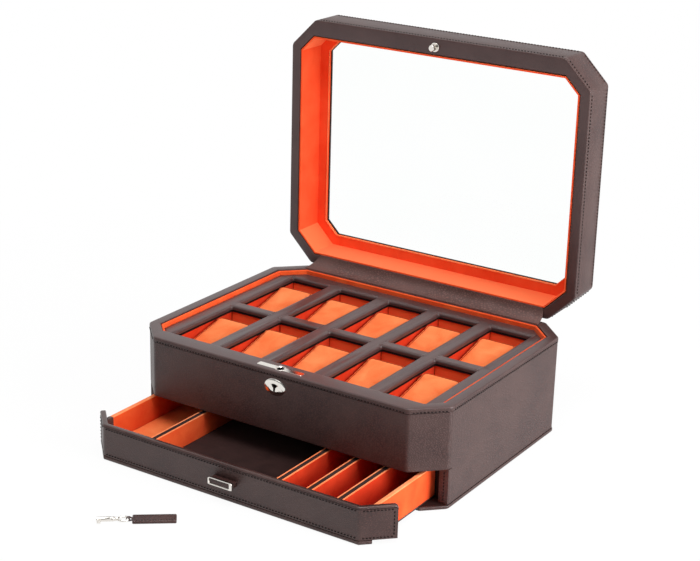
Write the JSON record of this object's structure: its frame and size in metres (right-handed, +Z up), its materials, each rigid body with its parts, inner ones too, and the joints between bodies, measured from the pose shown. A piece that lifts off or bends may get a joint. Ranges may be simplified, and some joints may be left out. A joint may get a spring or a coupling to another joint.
{
  "type": "watch box with drawer",
  "caption": "Octagonal leather-covered watch box with a glazed hinged lid, cushioned wells, a lock and a divided drawer under them, with its key.",
  "frame": {"origin": "middle of the casing's underside, on the surface that the box stands on", "axes": "+X to the right along the front, +Y from the front to the rear, +Z up; lid open and drawer part way out as stored"},
  "size_m": [0.34, 0.4812, 0.3648],
  "materials": {
    "brown_leather": "fine-grained leather over board, semi-matt",
    "orange_lining": "short-pile microfibre",
    "brown_lining": "short-pile microfibre",
    "felt": "pressed felt",
    "board": "stained board",
    "nickel": "polished nickel plate",
    "steel": "plain steel",
    "glass": "clear float glass"
  },
  "bodies": {
    "casing": {"base_felt": "felt", "bottom_board": "brown_leather", "left_wall": "brown_leather", "right_wall": "brown_leather", "front_panel": "brown_leather", "front_rail": "brown_leather", "back_wall": "brown_leather", "mid_shelf": "board", "rim_liner": "orange_lining", "tray_frame": "brown_leather", "column_partition_1": "orange_lining", "column_partition_2": "orange_lining", "column_partition_3": "orange_lining", "column_partition_4": "orange_lining", "cross_partition": "orange_lining", "tray_lining": "orange_lining", "well_floor": "orange_lining", "drawer_guides": "board", "lock_case": "steel", "lock_plate": "nickel", "escutcheon": "nickel", "hinge_base_leaves": "steel", "hinge_pins": "steel", "hinge_leather": "brown_leather"},
    "lid": {"lid_walls": "brown_leather", "lid_top_frame": "brown_leather", "lid_liner": "orange_lining", "lid_flange": "orange_lining", "lid_glass": "glass", "striker": "nickel", "hinge_lid_leaves": "steel"},
    "drawer": {"drawer_front": "brown_leather", "drawer_base": "brown_leather", "drawer_side_left": "orange_lining", "drawer_side_right": "orange_lining", "drawer_back": "orange_lining", "divider_1": "orange_lining", "divider_2": "orange_lining", "divider_3": "orange_lining", "divider_4": "orange_lining", "drawer_floor_lining": "orange_lining", "drawer_centre_pad": "brown_lining", "pull_tab": "brown_leather", "pull_cap": "nickel"},
    "lock_core": {"lock_core": "steel"},
    "lock_bolt": {"lock_bolt": "steel"},
    "key": {"key": "nickel"},
    "fob": {"key_thong": "brown_leather", "key_fob": "brown_leather"},
    "cushion_1": {"cushion_1": "orange_lining"},
    "cushion_2": {"cushion_2": "orange_lining"},
    "cushion_3": {"cushion_3": "orange_lining"},
    "cushion_4": {"cushion_4": "orange_lining"},
    "cushion_5": {"cushion_5": "orange_lining"},
    "cushion_6": {"cushion_6": "orange_lining"},
    "cushion_7": {"cushion_7": "orange_lining"},
    "cushion_8": {"cushion_8": "orange_lining"},
    "cushion_9": {"cushion_9": "orange_lining"},
    "cushion_10": {"cushion_10": "orange_lining"}
  },
  "joints": [
    {"name": "lid_hinge", "type": "hinge", "parent": "casing", "child": "lid", "pos_m": [0, 0.13355, 0.10025], "axis": [-1, 0, 0], "range_deg": [-90, 0], "deforming": ["hinge_leather"]},
    {"name": "drawer_slide", "type": "slide", "parent": "casing", "child": "drawer", "axis": [0, -1, 0], "range_m": [-0.075, 0.04]},
    {"name": "lock_turn", "type": "hinge", "parent": "casing", "child": "lock_core", "pos_m": [0, -0.123, 0.087], "axis": [0, 1, 0], "range_deg": [-90, 0]},
    {"name": "bolt_slide", "type": "slide", "parent": "casing", "child": "lock_bolt", "axis": [1, 0, 0], "range_m": [-0.004, 0]},
    {"name": "key_lift", "type": "slide", "parent": "casing", "child": "key", "axis": [0, 0, 1], "range_m": [0, 0.06]},
    {"name": "fob_swivel", "type": "hinge", "parent": "key", "child": "fob", "pos_m": [-0.04613, -0.28653, 0.0022], "axis": [0, 0, -1], "range_deg": [-35, 35]},
    {"name": "cushion_1_lift", "type": "slide", "parent": "casing", "child": "cushion_1", "axis": [0, 0, 1], "range_m": [0, 0.055]},
    {"name": "cushion_2_lift", "type": "slide", "parent": "casing", "child": "cushion_2", "axis": [0, 0, 1], "range_m": [0, 0.055]},
    {"name": "cushion_3_lift", "type": "slide", "parent": "casing", "child": "cushion_3", "axis": [0, 0, 1], "range_m": [0, 0.055]},
    {"name": "cushion_4_lift", "type": "slide", "parent": "casing", "child": "cushion_4", "axis": [0, 0, 1], "range_m": [0, 0.055]},
    {"name": "cushion_5_lift", "type": "slide", "parent": "casing", "child": "cushion_5", "axis": [0, 0, 1], "range_m": [0, 0.055]},
    {"name": "cushion_6_lift", "type": "slide", "parent": "casing", "child": "cushion_6", "axis": [0, 0, 1], "range_m": [0, 0.055]},
    {"name": "cushion_7_lift", "type": "slide", "parent": "casing", "child": "cushion_7", "axis": [0, 0, 1], "range_m": [0, 0.055]},
    {"name": "cushion_8_lift", "type": "slide", "parent": "casing", "child": "cushion_8", "axis": [0, 0, 1], "range_m": [0, 0.055]},
    {"name": "cushion_9_lift", "type": "slide", "parent": "casing", "child": "cushion_9", "axis": [0, 0, 1], "range_m": [0, 0.055]},
    {"name": "cushion_10_lift", "type": "slide", "parent": "casing", "child": "cushion_10", "axis": [0, 0, 1], "range_m": [0, 0.055]}
  ],
  "couplings": [
    {"joint": "lock_turn", "follows": "bolt_slide", "rad_per_m": 392.69}
  ]
}
